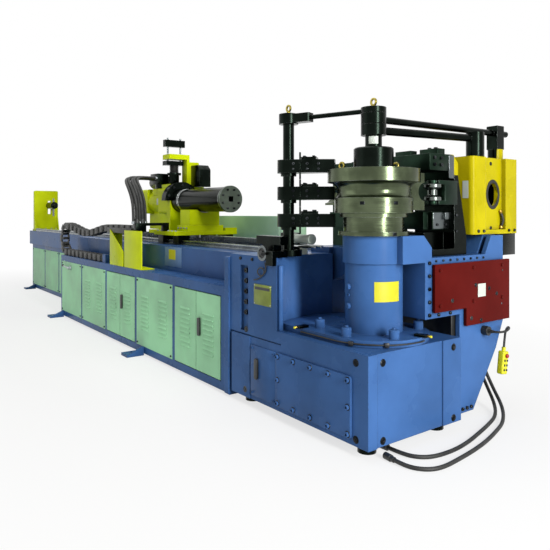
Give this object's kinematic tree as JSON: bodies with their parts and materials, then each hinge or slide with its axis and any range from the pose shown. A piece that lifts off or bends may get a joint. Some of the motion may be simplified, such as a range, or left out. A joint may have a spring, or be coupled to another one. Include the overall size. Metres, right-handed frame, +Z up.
{
  "type": "cnc pipe bending machine",
  "caption": "Rotary draw pipe bender: head with swinging bend arm, grooved die, clamp and wiper post, long bed with louvred doors, feed carriage with turning chuck and cable chain.",
  "frame": {"origin": "on the floor below the bend axis", "axes": "+X towards the front of the head, +Y away from the door side of the bed, +Z up"},
  "size_m": [7.044, 1.4835, 1.695],
  "materials": {
    "blue_enamel": "sprayed enamel, satin",
    "mint_enamel": "sprayed enamel on pressed sheet, satin",
    "lemon_enamel": "sprayed enamel, gloss",
    "red_enamel": "sprayed enamel, satin",
    "blackened_steel": "oil blackened, milled",
    "die_steel": "turned, oiled",
    "machined_steel": "ground",
    "black_plastic": "moulded, fine grain",
    "pendant_plastic": "moulded, smooth",
    "cable_rubber": "extruded, matt"
  },
  "bodies": {
    "frame": {"head_base": "blue_enamel", "head_housing": "blue_enamel", "end_flange": "blue_enamel", "press_bracket": "blue_enamel", "bed_cabinet": "blue_enamel", "rail_beam": "blue_enamel", "tail_frame": "blue_enamel", "base_covers": "blue_enamel", "pivot_plate": "blue_enamel", "bed_feet": "blue_enamel", "bed_panels": "mint_enamel", "chain_brackets": "lemon_enamel", "tail_upright": "lemon_enamel", "control_cabinet": "mint_enamel", "tie_rod_fixed": "blackened_steel", "wiper_post": "blackened_steel", "hydraulic_unit": "blackened_steel", "feed_rails": "machined_steel", "levelling_pads": "machined_steel", "small_fittings": "machined_steel", "cable_chain": "black_plastic", "cable_plug": "black_plastic", "floor_cable_a": "cable_rubber", "floor_cable_b": "cable_rubber"},
    "arm": {"bend_arm": "blue_enamel", "arm_cover": "red_enamel", "bend_spindle": "machined_steel", "die_rings": "die_steel", "bend_die": "die_steel", "die_nut": "blackened_steel", "tie_rods": "blackened_steel", "clamp_tower": "lemon_enamel", "clamp_cylinder": "blackened_steel", "pendant": "pendant_plastic", "pendant_lead": "cable_rubber"},
    "clamp": {"clamp_carrier": "blackened_steel", "clamp_tools": "blackened_steel"},
    "roller": {"clamp_roller": "machined_steel"},
    "press_unit": {"press_slide": "blackened_steel"},
    "press_jaw": {"press_die": "die_steel"},
    "carriage": {"carriage_saddle": "lemon_enamel", "gear_housing": "lemon_enamel", "chuck_flange": "blackened_steel", "guide_blocks": "machined_steel", "carriage_drives": "blackened_steel", "conduit_a": "cable_rubber", "conduit_b": "cable_rubber"},
    "pinion": {"feed_pinion": "machined_steel"},
    "chuck": {"chuck_barrel": "blackened_steel"},
    "crosshead": {"cross_head": "blackened_steel"},
    "wiper_low": {"wiper_holder_1": "blackened_steel"},
    "wiper_mid": {"wiper_holder_2": "blackened_steel"},
    "wiper_high": {"wiper_holder_3": "blackened_steel"},
    "wheel": {"hand_wheel": "machined_steel"},
    "mandrel": {"mandrel_holder": "machined_steel"},
    "door_a_near": {"door_a_right": "mint_enamel"},
    "door_a_far": {"door_a_left": "mint_enamel"},
    "door_b_near": {"door_b_right": "mint_enamel"},
    "door_b_far": {"door_b_left": "mint_enamel"},
    "cabinet_door": {"control_door": "mint_enamel"}
  },
  "joints": [
    {"name": "bend", "type": "hinge", "parent": "frame", "child": "arm", "pos_m": [0, 0, 0.9], "axis": [0, 0, -1], "range_deg": [0, 180], "deforming": ["floor_cable_a", "floor_cable_b"]},
    {"name": "clamp_close", "type": "slide", "parent": "arm", "child": "clamp", "axis": [0, -1, 0], "range_m": [0, 0.045]},
    {"name": "roller_spin", "type": "hinge", "parent": "clamp", "child": "roller", "pos_m": [0.108, 0.312, 1.149], "axis": [0, 0, 1], "continuous": true},
    {"name": "press_in", "type": "slide", "parent": "frame", "child": "press_unit", "axis": [0, -1, 0], "range_m": [0, 0.04]},
    {"name": "press_follow", "type": "slide", "parent": "press_unit", "child": "press_jaw", "axis": [1, 0, 0], "range_m": [-0.2, 0]},
    {"name": "feed", "type": "slide", "parent": "frame", "child": "carriage", "axis": [1, 0, 0], "range_m": [-1.8, 0.78], "deforming": ["cable_chain"]},
    {"name": "pinion_turn", "type": "hinge", "parent": "carriage", "child": "pinion", "pos_m": [-2.1915, 0.16, 0.858], "axis": [0, 0, 1], "range_deg": [-1200, 520]},
    {"name": "chuck_turn", "type": "hinge", "parent": "carriage", "child": "chuck", "pos_m": [-2, 0.22, 1.149], "axis": [1, 0, 0], "continuous": true},
    {"name": "crosshead_lift", "type": "slide", "parent": "carriage", "child": "crosshead", "axis": [0, 0, 1], "range_m": [-0.06, 0]},
    {"name": "wiper_low_swivel", "type": "hinge", "parent": "frame", "child": "wiper_low", "pos_m": [-0.462, -0.166, 1.006], "axis": [0, 0, 1], "range_deg": [-20, 25]},
    {"name": "wiper_mid_swivel", "type": "hinge", "parent": "frame", "child": "wiper_mid", "pos_m": [-0.462, -0.166, 1.149], "axis": [0, 0, 1], "range_deg": [-20, 25]},
    {"name": "wiper_high_swivel", "type": "hinge", "parent": "frame", "child": "wiper_high", "pos_m": [-0.462, -0.166, 1.292], "axis": [0, 0, 1], "range_deg": [-20, 25]},
    {"name": "wheel_turn", "type": "hinge", "parent": "frame", "child": "wheel", "pos_m": [-0.47, -0.33, 0.836], "axis": [0, -1, 0], "continuous": true},
    {"name": "mandrel_lift", "type": "slide", "parent": "frame", "child": "mandrel", "axis": [0, 0, 1], "range_m": [-0.09, 0.04]},
    {"name": "door_a_near_swing", "type": "hinge", "parent": "frame", "child": "door_a_near", "pos_m": [-2.175, -0.3105, 0.3], "axis": [0, 0, 1], "range_deg": [0, 105]},
    {"name": "door_a_far_swing", "type": "hinge", "parent": "frame", "child": "door_a_far", "pos_m": [-2.732, -0.3105, 0.3], "axis": [0, 0, -1], "range_deg": [0, 105]},
    {"name": "door_b_near_swing", "type": "hinge", "parent": "frame", "child": "door_b_near", "pos_m": [-0.925, -0.3105, 0.3], "axis": [0, 0, 1], "range_deg": [0, 105]},
    {"name": "door_b_far_swing", "type": "hinge", "parent": "frame", "child": "door_b_far", "pos_m": [-1.482, -0.3105, 0.3], "axis": [0, 0, -1], "range_deg": [0, 105]},
    {"name": "cabinet_door_swing", "type": "hinge", "parent": "frame", "child": "cabinet_door", "pos_m": [-2.473, 0.861, 0.5], "axis": [0, 0, 1], "range_deg": [0, 110]}
  ],
  "couplings": [
    {"joint": "pinion_turn", "follows": "feed", "rad_per_m": 11.111}
  ]
}
